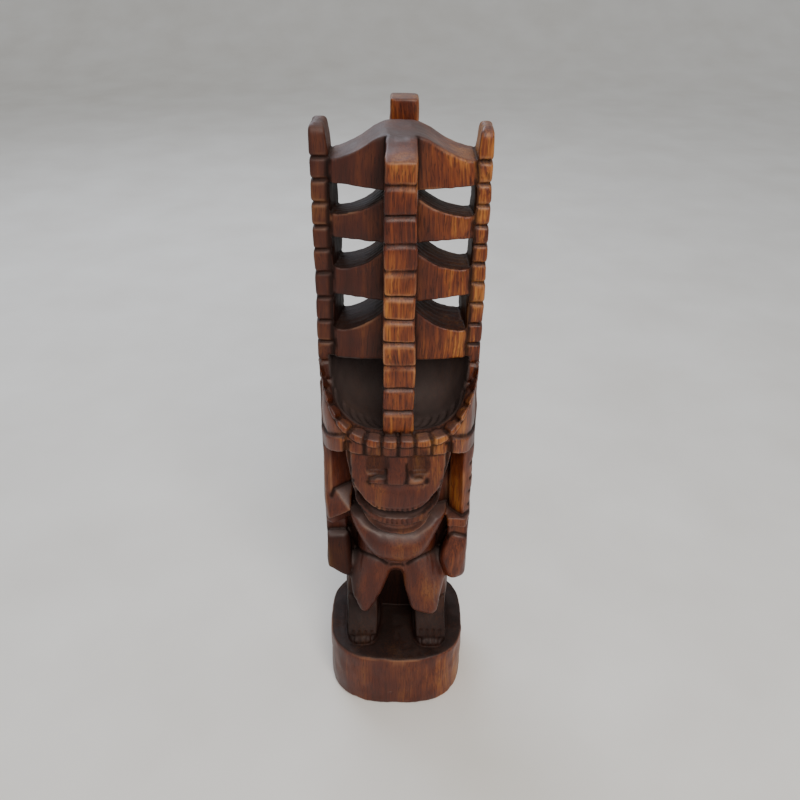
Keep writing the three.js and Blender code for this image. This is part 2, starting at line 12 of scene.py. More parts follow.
import bmesh
import bpy
import numpy as np
from mathutils import Matrix, Vector
from mathutils.bvhtree import BVHTree
from mathutils.kdtree import KDTree


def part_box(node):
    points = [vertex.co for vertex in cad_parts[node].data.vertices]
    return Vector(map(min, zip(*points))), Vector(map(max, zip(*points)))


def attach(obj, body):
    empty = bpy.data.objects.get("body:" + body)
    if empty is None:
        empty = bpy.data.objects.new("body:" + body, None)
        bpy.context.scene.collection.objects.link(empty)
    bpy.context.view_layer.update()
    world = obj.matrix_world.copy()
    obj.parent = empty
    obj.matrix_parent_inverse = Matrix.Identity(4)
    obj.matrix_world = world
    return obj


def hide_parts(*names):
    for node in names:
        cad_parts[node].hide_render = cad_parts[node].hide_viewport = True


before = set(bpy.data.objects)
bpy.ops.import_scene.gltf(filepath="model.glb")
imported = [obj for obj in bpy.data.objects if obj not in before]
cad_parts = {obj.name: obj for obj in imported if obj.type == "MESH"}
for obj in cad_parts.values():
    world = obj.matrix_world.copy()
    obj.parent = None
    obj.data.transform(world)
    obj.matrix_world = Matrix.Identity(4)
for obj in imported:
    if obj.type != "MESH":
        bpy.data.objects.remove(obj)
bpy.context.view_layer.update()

# %% [markdown]
# ## Working units and a few landmarks
#
# Blender's unit is the metre, but a carver thinks in millimetres, so the mesh is read into an array of
# millimetres, worked on there and written back. The landmarks below are heights and widths on the
# carving. Its outer size comes from the frame.

# %% Landmarks
MM = 0.001
low_corner, high_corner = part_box("tiki_carving")
HALF_WIDTH = (high_corner.x - low_corner.x) / 2 / MM
HALF_DEPTH = (high_corner.y - low_corner.y) / 2 / MM
HEIGHT = high_corner.z / MM
PLINTH_TOP = 45.4
FIGURE_HEIGHT = 182.6
RIM_HEIGHT = PLINTH_TOP + FIGURE_HEIGHT
LATTICE_FOOT = RIM_HEIGHT + 37
TOP_BAR_END = 379.2
POST_INSIDE = {-1: 37.3, 1: 38.7}  # by side
RIDGE_HALF_WIDTH = 8.0
LATTICE_FACE = 17.5
HOLLOW_MIDDLE = -12  # the hollow behind the rim lies a little in front of the block's middle


def figure(across, back, up):
    """A place in the figure, in per cent of half the width, half the depth and the figure's height."""
    return (across / 100 * HALF_WIDTH, back / 100 * HALF_DEPTH, PLINTH_TOP + up / 100 * FIGURE_HEIGHT)


print(f"block {2 * HALF_WIDTH:.1f} x {2 * HALF_DEPTH:.1f} x {HEIGHT:.1f} mm")

# %% [markdown]
# ## The blank
#
# A copy of the frame's solid is merged into one skin. Its edges are of three kinds: where two facets
# of a round form meet, the surface turns by a few degrees; at a carved edge it turns by far more, either
# outwards, an arris, or inwards, a valley. The arrises and valleys are remembered as rows of places,
# because the finish depends on them: an arris is eased and painted lighter, partly as wear and partly as
# a painted highlight, and a valley is cut a little deeper by the knife and painted dark, partly as stain
# and partly as painted shade.
#
# The skin is then remeshed on a grid of voxels. That could be done with subdivision instead, but a
# solid made by cutting has long thin triangles that subdivide badly. The voxel grid gives even little
# faces everywhere, which smoothing and carving both need.

# %% Find the carved edges and remesh the blank
VOXEL_MM = 0.72
WELD_MM = 0.001
CARVED_TURN = math.radians(34)
EDGE_STEP_MM = 0.5
EYE_MIDDLE = figure(27, -99, 90)
SOFT_PLACES = [  # middle and radius: carved edges in here are sanded away
    *[((side * EYE_MIDDLE[0], -43, EYE_MIDDLE[2]), 8.5) for side in (-1, 1)],  # eye hollows
    *[((side * 15.5, -42, 189), 5.0) for side in (-1, 1)],  # beside the nose
    *[((side * 28, -28, 157), 8.0) for side in (-1, 1)],  # under the corners of the mouth
    ((0, -30, 107), 13.0),  # belly
]


def applied(piece):
    """Replaces a piece's mesh by what its modifiers make of it."""
    bpy.context.view_layer.update()
    graph = bpy.context.evaluated_depsgraph_get()
    shaped = bpy.data.meshes.new_from_object(piece.evaluated_get(graph))
    piece.modifiers.clear()
    old = piece.data
    piece.data = shaped
    bpy.data.meshes.remove(old)


def search_tree(places):
    """A tree that finds the nearest of some places."""
    tree = KDTree(len(places))
    for i, spot in enumerate(places):
        tree.insert(spot, i)
    tree.balance()
    return tree


def places_along(edges):
    """A search tree of places at equal steps along some edges, in millimetres."""
    places = []
    for edge in edges:
        start, end = (v.co / MM for v in edge.verts)
        steps = max(1, round((end - start).length / EDGE_STEP_MM))
        places += [start.lerp(end, i / steps) for i in range(steps + 1)]
    return search_tree(places)


def is_carved(edge):
    """Whether the surface turns sharply at an edge that isn't in a soft place."""
    if len(edge.link_faces) != 2 or edge.calc_face_angle() <= CARVED_TURN:
        return False
    middle = (edge.verts[0].co + edge.verts[1].co) / 2 / MM
    return all((middle - Vector(at)).length > reach for at, reach in SOFT_PLACES)


skin = bmesh.new()
skin.from_mesh(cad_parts["tiki_carving"].data)
bmesh.ops.remove_doubles(skin, verts=skin.verts, dist=WELD_MM * MM)
solid_form = BVHTree.FromBMesh(skin)
carved = [e for e in skin.edges if is_carved(e)]
arrises = places_along([e for e in carved if e.is_convex])
valleys = places_along([e for e in carved if not e.is_convex])
blank = bpy.data.meshes.new("carved_tiki")
skin.to_mesh(blank)
skin.free()
tiki = bpy.data.objects.new("carved_tiki", blank)
bpy.context.scene.collection.objects.link(tiki)
remesh = tiki.modifiers.new("voxels", "REMESH")
remesh.mode = "VOXEL"
remesh.voxel_size = VOXEL_MM * MM
applied(tiki)
print("blank:", len(tiki.data.vertices), "corners,", len(carved), "carved edges")

# %% [markdown]
# ## Arrays to carve in
#
# Each corner of the mesh is a row of three numbers. The edges say which corners are neighbours, so a
# corner can be moved towards the mean of its neighbours, which is all that smoothing is.

# %% Corners, edges and smoothing
edges = np.empty(2 * len(tiki.data.edges), np.int32)
tiki.data.edges.foreach_get("vertices", edges)
first, second = edges.reshape(-1, 2).T
corners = np.empty(3 * len(tiki.data.vertices))
tiki.data.vertices.foreach_get("co", corners)
corners = corners.reshape(-1, 3) / MM
count = len(corners)
neighbours = np.bincount(first, minlength=count) + np.bincount(second, minlength=count)


def facing():
    """Writes the corners to the mesh and reads the outward direction at each."""
    tiki.data.vertices.foreach_set("co", (corners * MM).ravel())
    tiki.data.update()
    out = np.empty(3 * count)
    tiki.data.vertices.foreach_get("normal", out)
    return out.reshape(-1, 3)


def neighbour_mean(values):
    """The mean of a value over each corner's neighbours."""
    one = np.bincount(first, values[second], count)
    return (one + np.bincount(second, values[first], count)) / neighbours


def relax(weight, rounds):
    """Moves corners towards their neighbours' mean, as far as their weight says."""
    for _ in range(rounds):
        for axis in range(3):
            column = corners[:, axis]
            corners[:, axis] = column + 0.5 * weight * (neighbour_mean(column) - column)


def distance(tree, places):
    """How far each place is from the nearest place in a search tree."""
    return np.array([tree.find(place)[2] for place in places])


def fade(value, start, end):
    """0 at start and 1 at end, with an even bend between."""
    share = np.clip((value - start) / (end - start), 0, 1)
    return share * share * (3 - 2 * share)


print("arrays:", count, "corners and", len(first), "edges")

# %% [markdown]
# ## Facets away, edges kept
#
# Corners well away from a carved edge are smoothed for many rounds, so that the facets of the round
# forms melt together. Near an arris a few rounds ease it. Each valley is cut a little deeper, as the
# knife leaves it.

# %% Smooth the facets, ease the arrises and deepen the valleys
FACET_ROUNDS = 55
FACET_CLEAR = (0.7, 3.0)  # this far from a carved edge smoothing begins, and is full
EASE_ROUNDS = 7
EASE_REACH = (0.8, 2.4)  # this far from an arris easing is full, and ends
EASE_CLEAR = (0.2, 1.2)  # this far from a valley easing begins, and is full
VALLEY_REACH = 1.9
VALLEY_DEPTH = 0.75

to_arris = distance(arrises, corners)
to_valley = distance(valleys, corners)
free = fade(np.minimum(to_arris, to_valley), *FACET_CLEAR)
relax(free, FACET_ROUNDS)
relax((1 - fade(to_arris, *EASE_REACH)) * fade(to_valley, *EASE_CLEAR), EASE_ROUNDS)
relax(np.ones(count), 1)
out = facing()
corners -= out * (VALLEY_DEPTH * (1 - fade(to_valley, 0, VALLEY_REACH)))[:, None]
print("facets:", int((free > 0.9).sum()), "of", count, "corners smoothed")

# %% [markdown]
# ## A stroke of the gouge
#
# Every mark on a carving is a stroke: a line along the surface, with a width and a depth. A stroke
# presses in the corners near its line, most at the middle. Lines are drawn in the air, as one would
# aim a tool, and cast onto the solid form to find the place where they touch it. Deep strokes are
# noted as cuts, fine or wide, because they are painted dark later, partly as stain and partly as
# painted shade.

# %% Strokes
DEEP_CUT = 0.7
FINE_CUT = 2.0  # narrower than this is fine
BACKWARDS, DOWN = (0, 1, 0), (0, 0, -1)
cuts = {"fine": [], "wide": []}


def cast(line, direction):
    """Drops each place of a line onto the solid form. Places that miss it are left out."""
    aim = Vector(direction).normalized()
    landed = [solid_form.ray_cast(Vector(place) * MM, aim)[0] for place in line]
    return [tuple(hit / MM) for hit in landed if hit is not None]


def stroke(line, width, depth, out):
    """Presses a groove of that width and depth along a line of places."""
    line = np.array(line)
    if len(line) < 2:
        return
    if depth >= DEEP_CUT:
        cuts["fine" if width < FINE_CUT else "wide"].append(line)
    reach = width / 2
    inside = ((corners > line.min(0) - reach) & (corners < line.max(0) + reach)).all(1)
    near = np.flatnonzero(inside)
    nearest = np.full(len(near), 1e9)
    for start, end in zip(line[:-1], line[1:]):
        along = end - start
        length = max(along @ along, 1e-9)
        share = np.clip((corners[near] - start) @ along / length, 0, 1)
        gap = np.linalg.norm(corners[near] - start - share[:, None] * along, axis=1)
        nearest = np.minimum(nearest, gap)
    press = depth * np.clip(1 - (nearest / reach) ** 2, 0, 1)
    corners[near] -= out[near] * press[:, None]


def between(start, end, steps):
    """Places at equal steps from start to end."""
    start, end = np.array(start), np.array(end)
    return [tuple(start + (end - start) * i / steps) for i in range(steps + 1)]


# %% [markdown]
# ## Toes and teeth
#
# The feet are blocks with short cuts across the front edge for toes. The teeth are a row of small
# upright nicks in the edge of each lip, and a shallow line over the upper ones.

# %% Carve toes and teeth
TOES = 5
FOOT_MIDDLE, FOOT_HALF = 23.5, 11.0
TOE_CUT = (1.8, 0.9)  # width and depth of a stroke
TEETH_BESIDE = 5  # on each side of the middle one
TOOTH = 3.1
TOOTH_CUT = (1.6, 1.0)
TOOTH_LINE_CUT = (1.6, 0.6)
UPPER_LIP = (59, 69.4, 82.5)  # per cent: half the width, the height in the middle and at the ends
LOWER_LIP = (56, 66.4, 77.5)
CLEAR_FRONT = -80


def lip(x, wide, low, high):
    """The height of a lip's U-shaped edge at x."""
    share = abs(x) / (wide / 100 * HALF_WIDTH)
    return figure(0, 0, low + (high - low) * share ** 3)[2]


def nick(x, start, end):
    """Cuts an upright nick in the front, from one height to another."""
    line = between((x, CLEAR_FRONT, start), (x, CLEAR_FRONT, end), 3)
    stroke(cast(line, BACKWARDS), *TOOTH_CUT, out)


out = facing()
for side in (-1, 1):
    for i in range(1, TOES):
        x = side * FOOT_MIDDLE + FOOT_HALF * (2 * i / TOES - 1)
        top = cast(between((x, -28, 60), (x, -32, 60), 3), DOWN)
        front = cast(between((x, -60, 51), (x, -60, 47.5), 3), BACKWARDS)
        stroke(top + front, *TOE_CUT, out)
for i in range(-TEETH_BESIDE, TEETH_BESIDE + 1):
    x = i * TOOTH
    if abs(i) < TEETH_BESIDE:
        nick(x, lip(x, *UPPER_LIP) + 0.5, lip(x, *UPPER_LIP) + 3.4)
    nick(x, lip(x, *LOWER_LIP) - 0.5, lip(x, *LOWER_LIP) - 4.0)
tooth_line = [(x, CLEAR_FRONT, lip(x, *UPPER_LIP) + 4.3) for x in np.linspace(-16, 16, 15)]
stroke(cast(tooth_line, BACKWARDS), *TOOTH_LINE_CUT, out)
print("toes and teeth cut")

# %% [markdown]
# ## Notches over the rim
#
# The rim of the headdress sweeps up at the sides like the sheer line of a boat. Notches at equal steps
# along it cut from its flat top over the outer edge and down its band. They reach further in at the
# sides, where the rim is wider, and stop short of its thin upper tips.

# %% Carve the rim's notches
RIM_PITCH = 9.8
RIM_TOP = 4.2
RIM_SIDES = 3.2
RIM_BAND = 4.6
RIM_CUT = (3.0, 1.1)
RIM_RISE, RISE_BEND = 38, 4.5
RIM_POINTS = 400
RIM_END = 0.985
THIN_TIP = 15.0
SQUARENESS = 2.8


def rim(x):
    """The rim's outer edge at x."""
    share = abs(x) / HALF_WIDTH
    return np.array([x, -HALF_DEPTH * (1 - share ** SQUARENESS) ** (1 / SQUARENESS),
                     RIM_HEIGHT + RIM_RISE * share ** RISE_BEND])


out = facing()
edge_line = np.array([rim(HALF_WIDTH * RIM_END * t) for t in np.linspace(0, 1, RIM_POINTS)])
run = np.concatenate([[0], np.cumsum(np.linalg.norm(np.diff(edge_line, axis=0), axis=1))])
for i in range(int(run[-1] / RIM_PITCH) + 1):
    k = int(np.searchsorted(run, i * RIM_PITCH))
    spot = edge_line[k]
    if spot[2] > LATTICE_FOOT - THIN_TIP:
        break
    along = edge_line[min(k + 1, RIM_POINTS - 1)] - edge_line[max(k - 1, 0)]
    along /= np.linalg.norm(along)
    outward = np.array([spot[0] / HALF_WIDTH ** 2, spot[1] / HALF_DEPTH ** 2, 0])
    outward /= np.linalg.norm(outward)
    up_the_band = np.cross(outward, along)
    over_the_top = np.cross(along, np.array([-along[2], 0, along[0]]))
    over_the_top /= np.linalg.norm(over_the_top)
    for side in ((-1, 1) if i else (1,)):
        reach_in = RIM_TOP + RIM_SIDES * abs(spot[0]) / HALF_WIDTH
        line = np.array([spot - reach_in * over_the_top, spot, spot - RIM_BAND * up_the_band])
        stroke(line * (side, 1, 1), *RIM_CUT, out)
print("rim notches cut along", round(float(run[-1])), "mm")

# %% [markdown]
# ## Gouge marks
#
# A gouge leaves shallow flutes where it took wood out: round the floor of the hollow behind the rim,
# along the scooped sills of the lattice, in the eye hollows and down the thighs. They are cut with the
# same stroke, wider and much shallower. The lattice's rows get lower upwards, each by the same share.

# %% Carve the gouge marks
HOLLOW_FLUTE = (4.0, 0.8)
HOLLOW_ARCS = 7
ARC_STEPS = 40
SILL_FLUTE = (5.2, 0.45)
SILL_LINES = (-13, -7.5, -2, 3.5, 9, 13.5)  # places across the bars' depth
ROWS = 3
BAR, WINDOW, ROW_TAPER = 18.8, 21.1, 0.84
EYE_FLUTE = (2.2, 0.35)
EYE_LINES = (202, 204.4, 206.8, 209.2, 211.6)  # heights
THIGH_FLUTE = (3.4, 0.3)

out = facing()
for i in range(HOLLOW_ARCS):
    share = 0.94 - 0.12 * i
    reach_x, reach_y = (HALF_WIDTH - 7) * share, 26 * share
    arc = []
    for step in range(ARC_STEPS + 1):
        turn_at = math.pi * (1 + step / ARC_STEPS)
        arc.append((reach_x * math.cos(turn_at), HOLLOW_MIDDLE + reach_y * math.sin(turn_at),
                    LATTICE_FOOT - 0.5))
    stroke(cast(arc, DOWN), *HOLLOW_FLUTE, out)

sill = LATTICE_FOOT
for row in range(ROWS):
    sill += BAR * ROW_TAPER ** row
    lintel = sill + WINDOW * ROW_TAPER ** row
    for side in (-1, 1):
        for y in SILL_LINES:
            line = between((side * (POST_INSIDE[side] - 5), y, lintel - 4), (side * 10, y, lintel - 4), 14)
            stroke(cast(line, DOWN), *SILL_FLUTE, out)
    sill = lintel

for side in (-1, 1):
    for z in EYE_LINES:
        line = between((side * 8.5, CLEAR_FRONT, z), (side * 18, CLEAR_FRONT, z), 5)
        stroke(cast(line, BACKWARDS), *EYE_FLUTE, out)
    for i in range(6):
        across = side * (28 + 6 * i)
        line = [figure(across - side * (1 - t) * 8, -140, 42 - 20 * t) for t in np.linspace(0, 1, 7)]
        stroke(cast(line, BACKWARDS), *THIGH_FLUTE, out)
print("gouge marks cut")

# %% [markdown]
# ## The cut between post and bar
#
# Where each bar of the lattice meets a post, the carver ran a knife down the joint. It shows as a thin
# dark line, in front and at the back.

# %% Carve the joints
JOINT_CUT = (2.4, 1.0)
JOINT_INSET = 3  # from the lattice's face

out = facing()
for side in (-1, 1):
    x = side * (POST_INSIDE[side] - 0.3)
    for y in (-LATTICE_FACE + JOINT_INSET, LATTICE_FACE - JOINT_INSET):
        stroke(between((x, y, LATTICE_FOOT), (x, y, TOP_BAR_END), 2), *JOINT_CUT, out)
# Deep cuts are painted dark later, partly as stain and partly as painted shade.
print("strokes deep enough to hold stain:", {kind: len(lines) for kind, lines in cuts.items()})

# %% [markdown]
# ## An unsteady hand
#
# Nothing cut by hand is quite straight. A few long waves crossing each other move every corner by a
# fraction of a millimetre, so that edges wander, and shorter, weaker waves leave the faces slightly
# uneven, as a knife does. The corners are then clipped to the frame's box, so that nothing outgrows it.

# %% Add the hand's unevenness
WANDER_WAVES = ((34, 0.35, 0), (13, 0.14, 3))  # length, strength and first seed
FACE_WAVE, FACE_STRENGTH, FACE_SEED = 5.5, 0.10, 7
ALONG_THE_GRAIN = (1, 1, 0.45)  # the face waves are longer upwards


def waves(places, length, seed, number=9):
    """A smooth uneven value from about -1 to 1, made of crossing waves of about that length in mm."""
    chance = np.random.default_rng(seed)
    total = np.zeros(len(places))
    for _ in range(number):
        way = chance.normal(size=3)
        way *= 2 * math.pi / (np.linalg.norm(way) * length * chance.uniform(0.7, 1.5))
        total += np.sin(places @ way + chance.uniform(0, 2 * math.pi))
    return total / math.sqrt(number / 2) / 1.6


start = corners.copy()
for axis in range(3):
    corners[:, axis] += sum(strength * waves(start, length, seed=axis + seed)
                            for length, strength, seed in WANDER_WAVES)
out = facing()
corners += out * (FACE_STRENGTH * waves(start * ALONG_THE_GRAIN, FACE_WAVE, seed=FACE_SEED))[:, None]
box = np.array([low_corner, high_corner]) / MM
corners[:] = np.clip(corners, box[0], box[1])
relax(np.ones(count), 2)
facing()
print("uneven by up to", round(float(np.abs(corners - start).max()), 2), "mm")

# %% [markdown]
# ## Fewer faces
#
# The fine grid has served its purpose. Decimate takes out the faces that say little, mostly on the
# flat sides, and keeps them where the surface turns. It may push a corner out of the box by a few
# thousandths of a millimetre, so the corners are clipped once more.

# %% Thin the mesh
MOST_FACES = 196000

tiki.data.calc_loop_triangles()
thin = tiki.modifiers.new("thin", "DECIMATE")
thin.ratio = MOST_FACES / len(tiki.data.loop_triangles)
applied(tiki)
mesh = tiki.data
spots = np.empty(3 * len(mesh.vertices))
mesh.vertices.foreach_get("co", spots)
spots = np.clip(spots.reshape(-1, 3) / MM, box[0], box[1])
mesh.vertices.foreach_set("co", (spots * MM).ravel())
mesh.update()
mesh.shade_smooth()
print("piece:", len(mesh.polygons), "faces")

# %% [markdown]
# ## How deep in the wood
#
# Recesses are painted dark, as painted shade: the valleys, the hollow behind the rim, the insides of
# the windows and low down round the feet. In the valleys this is partly stain, which stays where no
# hand rubs it. How much wood surrounds a place tells how deep in a recess it is, and so how much
# painted shade it gets. For that the solid is filled into a grid of cells, and the grid is blurred.

# %% Measure the wood around each corner
CELL = 1.5
MARGIN_CELLS = 12
RECESS_REACH = 3  # cells
MOST_WALLS = 24  # surfaces that one line through the block may cross


def filled_cells():
    """A grid of cells, 1 where there is wood, and the place of its first cell."""
    size = np.ceil((box[1] - box[0]) / CELL).astype(int) + 2 * MARGIN_CELLS
    origin = box[0] - MARGIN_CELLS * CELL
    grid = np.zeros(size, np.float32)
    aim = Vector(BACKWARDS)
    for i in range(size[0]):
        for k in range(size[2]):
            x, z = origin[0] + i * CELL, origin[2] + k * CELL
            if not (box[0][0] < x < box[1][0] and box[0][2] < z < box[1][2]):
                continue
            place = Vector((x, origin[1], z)) * MM
            hits = []
            for _ in range(MOST_WALLS):
                hit = solid_form.ray_cast(place, aim)[0]
                if hit is None:
                    break
                hits.append(hit.y / MM)
                place = hit + aim * 0.0001 * MM
            for enter, leave in zip(hits[::2], hits[1::2]):
                a, b = np.ceil((np.array([enter, leave]) - origin[1]) / CELL).astype(int)
                grid[i, a:b, k] = 1
    return grid, origin


def blurred(grid, cells):
    """A grid blurred three times with a box of 2 * cells + 1."""
    for _ in range(3):
        for axis in range(3):
            total = np.cumsum(np.moveaxis(grid, axis, 0), axis=0)
            padded = np.concatenate([np.zeros((cells + 1,) + total.shape[1:], np.float32), total,
                                     np.repeat(total[-1:], cells, axis=0)])
            spread = (padded[2 * cells + 1:] - padded[:-2 * cells - 1]) / (2 * cells + 1)
            grid = np.moveaxis(spread, 0, axis)
    return grid


def sample(grid, origin, places):
    """The grid's value at each place, blended between the eight cells around it."""
    spot = (places - origin) / CELL
    cell = np.floor(spot).astype(int)
    part = spot - cell
    value = np.zeros(len(places))
    for dx, dy, dz in np.ndindex(2, 2, 2):
        weight = 1.0
        for axis, d in enumerate((dx, dy, dz)):
            weight = weight * (part[:, axis] if d else 1 - part[:, axis])
        value += weight * grid[cell[:, 0] + dx, cell[:, 1] + dy, cell[:, 2] + dz]
    return value


cells, cell_origin = filled_cells()
around = sample(blurred(cells, RECESS_REACH), cell_origin, spots)
print("cells of wood:", int(cells.sum()), "of", cells.size)

# %% [markdown]
# ## Where the carving is what
#
# Painted shade and stain, wear and painted highlights, and the painted sheen differ from part to part,
# so each corner is told how much it belongs to the hollow, a window, a lip and so on. Each of these
# masks runs from 0 to 1, mostly with soft ends.

# %% Masks
BAY_END = 39.5  # the windows end at the posts
LIP_FOOT, LIP_EDGE = 155.0, 168.0
BOWL_MIDDLE, BOWL_REACH, BOWL_SQUARENESS = (0, HOLLOW_MIDDLE, LATTICE_FOOT), (41.5, 28, 48), 2.7
EYE_HOLLOW, EYE_REACH = (EYE_MIDDLE[0], -45, EYE_MIDDLE[2]), (8.6, 7.2, 11.8)


def within(value, start, full, hold, end):
    """Rises from 0 to 1 between start and full, and falls again between hold and end."""
    return fade(value, start, full) * (1 - fade(value, hold, end))


directions = np.empty(3 * len(mesh.vertices))
mesh.vertices.foreach_get("normal", directions)
out_back, out_up = directions.reshape(-1, 3)[:, 1:].T
x, y, z = spots.T
aside = np.abs(x)
to_valley = distance(valleys, spots)
to_arris = distance(arrises, spots)
to_cut = {kind: distance(search_tree(np.concatenate(lines)), spots) for kind, lines in cuts.items()}

at_rim = within(z, RIM_HEIGHT - 8, RIM_HEIGHT - 4, LATTICE_FOOT - 2, LATTICE_FOOT + 4)
at_rim *= np.maximum(fade(aside, 38, 41), fade(-y, 33, 36))
on_lip = within(z, LIP_FOOT - 3, LIP_FOOT, LIP_EDGE, LIP_EDGE + 3)
on_lip *= fade(-y, 35, 37) * (1 - fade(aside, 19, 24))
bowl = (np.abs((spots - BOWL_MIDDLE) / BOWL_REACH) ** BOWL_SQUARENESS).sum(1) ** (1 / BOWL_SQUARENESS)
in_hollow = (1 - fade(bowl, 0.98, 1.01)) * (z > RIM_HEIGHT - 12) * (z < LATTICE_FOOT + 1)
in_hollow *= 1 - fade(-y, 34.5, 37.5) * (aside < 10.5)
in_bay = (aside < BAY_END) * (aside > RIDGE_HALF_WIDTH) * (z > LATTICE_FOOT + 4)
# Painted shade inside the windows.
in_window = fade(1 - np.abs(out_back), 0.3, 0.6) * in_bay * (z < TOP_BAR_END - 6) * (np.abs(y) < LATTICE_FACE)
on_sill = in_bay * (np.abs(y) > LATTICE_FACE - 2)
# Painted shadow of the ridge on the bars beside it.
by_ridge = fade(z, LATTICE_FOOT - 2, LATTICE_FOOT) * (np.abs(y) < 20) * (1 - fade(np.abs(x + 2), 9, 21))
on_plinth = within(z, PLINTH_TOP - 1.6, PLINTH_TOP - 0.9, PLINTH_TOP + 1, PLINTH_TOP + 3)
on_plinth *= fade(out_up, 0.5, 0.85)
# Painted shade low round the feet, under the knees.
round_feet = (z > PLINTH_TOP) * (1 - fade(z, 66, 100)) * np.maximum(fade(y, -36, -31), 1 - fade(z, 56, 62))
behind_feet = (aside < 14) * (z < 52) * (y > 0) * (y < 40)
over_body = within(z, PLINTH_TOP, PLINTH_TOP + 2, 196, 230) * (1 - 0.75 * fade(x, 20, 38))
# Painted shade in the eye hollows.
eye = np.linalg.norm((np.stack([aside, y, z], axis=1) - EYE_HOLLOW) / EYE_REACH, axis=1)
in_eye = (1 - fade(eye, 1.0, 1.12)) * fade(y, -43.4, -42)
left_hand = within(z, PLINTH_TOP, PLINTH_TOP + 2, 134, 142) * fade(-x, 20, 30)
left_above = fade(-x, 4, 30) * fade(z, RIM_HEIGHT, LATTICE_FOOT)
on_side = (1 - fade(z, PLINTH_TOP - 1, PLINTH_TOP)) * (1 - 0.75 * fade(x, 8, 36))
print("share in the hollow", round(float(in_hollow.mean()), 3), "in windows", round(float(in_window.mean()), 3))

# %% [markdown]
# ## Painted shade and stain, glaze, wear and painted highlights, painted sheen
#
# Four attributes of the mesh come out of the masks. The first is a near-black painted shade in the
# recesses, the hollow, the windows, the eye hollows, beside the ridge and low round the feet, which in
# the valleys and cuts is partly stain; the plinth's top and the left side above the rim are made darker
# too. Glaze is the thin red-brown coat that the body, the plinth's side and the left post kept. Wear and
# painted highlights make the arrises and a few raised places lighter. The painted sheen is a cool grey
# reflection painted on faces that look up; in the hollow it turns the painted shade grey.

# %% Attributes
WORN_AND_LIT_SPOTS = [  # middle, reach in x, y and z, strength: where a raised place is painted lighter, partly rubbed and partly a painted highlight
    ((11.0, -42.0, 197.5), (5.5, 4.0, 2.2), 1.5),
    ((26.5, -38.0, 83.0), (3.5, 4.0, 5.5), 0.9),
    ((-22.0, -38.0, 83.0), (3.0, 4.0, 3.0), 0.6),
]


def lessened(value, *masks):
    """A value cut down by a share of each mask."""
    for mask, share in masks:
        value = value * (1 - share * mask)
    return value


# Painted shade: darker the more wood is around a place; in the valleys and deep cuts it is partly stain.
in_recess = lessened(fade(around, 0.56, 0.80), (in_hollow, 0.35), (on_lip, 0.6))
in_valley = 1 - fade(np.minimum(to_valley, to_cut["wide"]), 0.5, 2.6)
in_valley = lessened(in_valley, (at_rim * fade(aside, 30, 38), 0.55), (on_lip, 0.35))
in_valley = np.maximum(in_valley, 1 - fade(to_cut["fine"], 0.4, 1.3))

# Near-black painted shade in the hollow, the windows, the eye hollows, beside the ridge and round the feet; the
# plinth's top is made near-black.
painted_shade_and_stain = np.maximum.reduce([
    0.9 * in_recess, 0.92 * in_valley, 0.92 * in_hollow, 0.85 * in_window,
    0.5 * by_ridge, 0.93 * round_feet, 0.97 * on_plinth, 0.62 * in_eye])
painted_shade_and_stain = 1 - lessened(1 - painted_shade_and_stain, (over_body, 0.16), (left_hand, 0.70), (left_above, 0.44), (on_side, 0.12))
glaze = 0.78 * np.maximum.reduce([over_body, on_side, 0.95 * left_above])
# Lighter arrises: partly wear, partly painted highlights.
wear_and_highlight = lessened(1 - fade(to_arris, 0.15, 1.5), (in_hollow, 1), (in_valley, 1), (behind_feet, 1))
# A painted highlight along the sills' edges.
wear_and_highlight *= 1 + 0.8 * on_sill
for middle, reach, strength in WORN_AND_LIT_SPOTS:
    away = np.linalg.norm((spots - middle) / reach, axis=1)
    wear_and_highlight = np.maximum(wear_and_highlight, strength * (1 - fade(away, 0.5, 1.1)))
# Painted sheen: a cool grey reflection painted on faces that look up, most on the body, the top bar and the
# rim; in the hollow it greys the painted shade.
painted_sheen = lessened(fade(out_up, 0.2, 0.9),
                 (in_valley, 0.6), (in_window, 0.7), (on_plinth, 0.5), (round_feet, 0.5))
painted_sheen *= 1 + 1.25 * over_body + 0.35 * fade(z, 374, 382) + 0.8 * at_rim
painted_sheen = np.maximum(painted_sheen * (1 - in_hollow), 1.7 * in_hollow)
for name, value in (("painted_shade_and_stain", painted_shade_and_stain), ("glaze", glaze), ("wear_and_highlight", wear_and_highlight), ("painted_sheen", painted_sheen)):
    mesh.attributes.new(name, "FLOAT", "POINT").data.foreach_set("value", value.astype(np.float32))
    print(name, "mean", round(float(value.mean()), 2))

# %% [markdown]
# ## Helpers for materials
#
# Colours are written as the hex values one sees on a screen, and turned to the linear numbers that
# shaders work in. A few small functions add a node, set it and link it.

# %% Colour and node helpers
def linear(text):
    """An sRGB hex colour as linear red, green, blue and alpha."""
    channels = [int(text[i:i + 2], 16) / 255 for i in (1, 3, 5)]
    return tuple(c / 12.92 if c <= 0.04045 else ((c + 0.055) / 1.055) ** 2.4 for c in channels) + (1.0,)


def blank_material(name):
    """A new material and its emptied node tree."""
    material = bpy.data.materials.new(name)
    material.use_nodes = True
    material.node_tree.nodes.clear()
    return material, material.node_tree


def add(tree, kind, inputs=None, **settings):
    """Adds a node. Each input is a value or the socket that feeds it."""
    node = tree.nodes.new(kind)
    for name, value in settings.items():
        setattr(node, name, value)
    for socket, value in (inputs or {}).items():
        if isinstance(value, bpy.types.NodeSocket):
            tree.links.new(value, node.inputs[socket])
        else:
            node.inputs[socket].default_value = value
    return node


